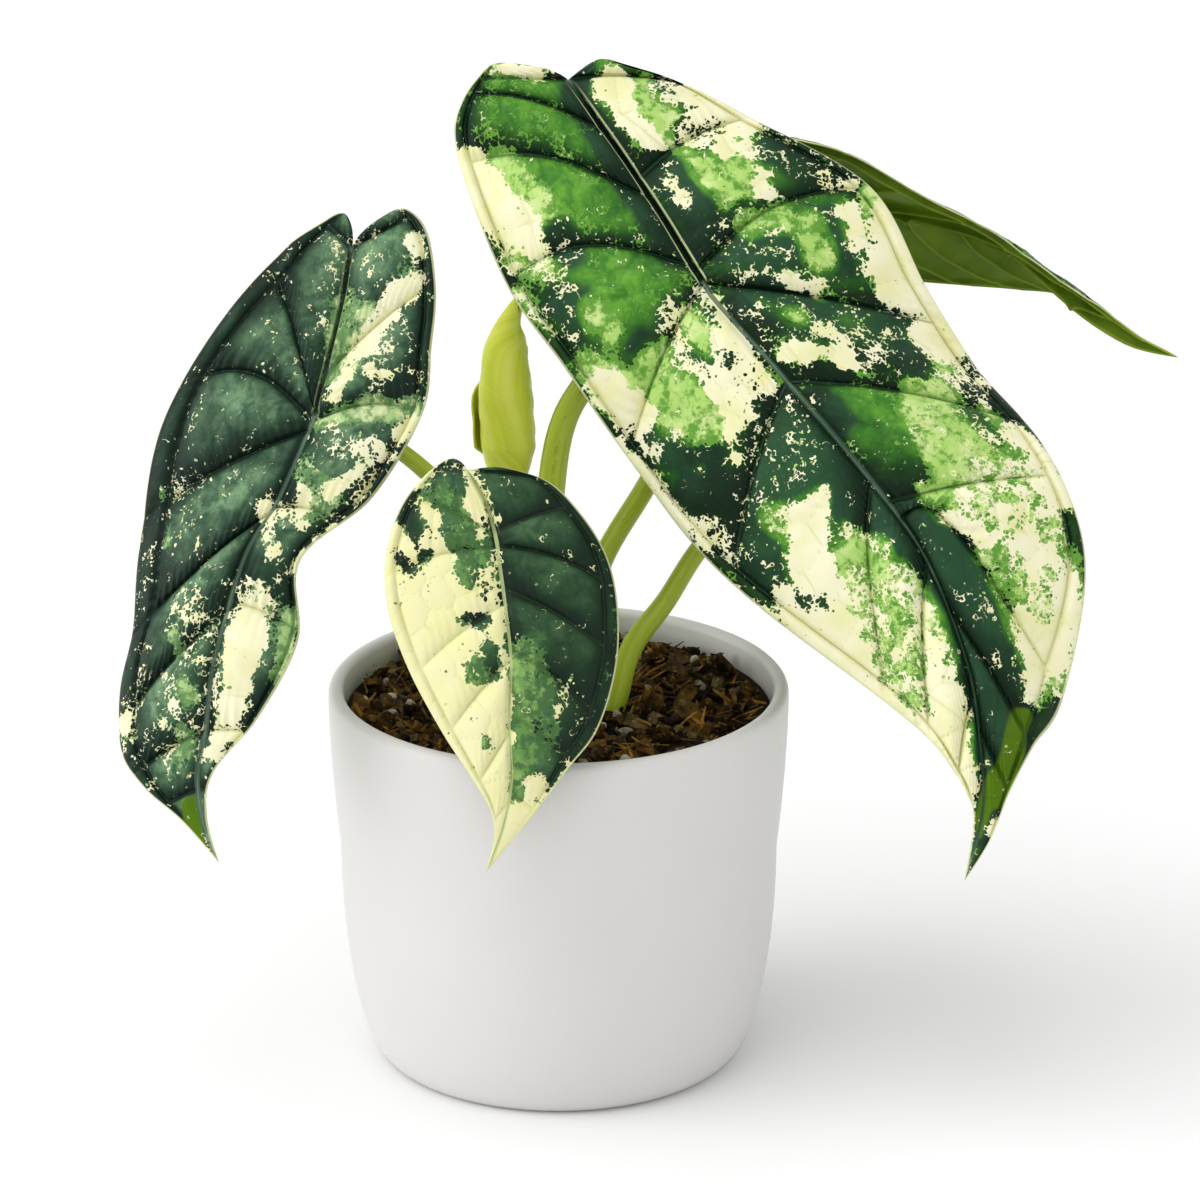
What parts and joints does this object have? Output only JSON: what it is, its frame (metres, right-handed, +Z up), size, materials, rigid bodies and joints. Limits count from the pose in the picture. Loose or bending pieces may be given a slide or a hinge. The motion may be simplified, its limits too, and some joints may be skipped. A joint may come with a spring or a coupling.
{
  "type": "potted variegated dragon scale alocasia",
  "caption": "Small aroid house plant with quilted, cream-marbled leaves on slender petioles, growing in bark soil in a plain white ceramic pot.",
  "frame": {"origin": "centre of the pot's flat base", "axes": "+Z up, +X to the right and -Y towards the front, which the large leaves face"},
  "size_m": [0.2805, 0.1668, 0.2597],
  "materials": {
    "ceramic": "satin white glaze",
    "soil": "loose bark, coir and perlite",
    "corm": "rough corm skin and fleshy roots",
    "petiole": "smooth lime green stalk",
    "blade": "quilted green leaf marbled with cream, soft sheen",
    "young_blade": "rolled young leaf, yellow green"
  },
  "bodies": {
    "root": {"pot": "ceramic", "soil": "soil", "corm": "corm", "petiole_large": "petiole", "petiole_left": "petiole", "petiole_front": "petiole", "petiole_back": "petiole", "petiole_hidden": "petiole", "petiole_young": "petiole", "blade_large": "blade", "blade_left": "blade", "blade_front": "blade", "blade_back": "blade", "blade_hidden": "blade", "blade_young": "young_blade"}
  },
  "joints": []
}
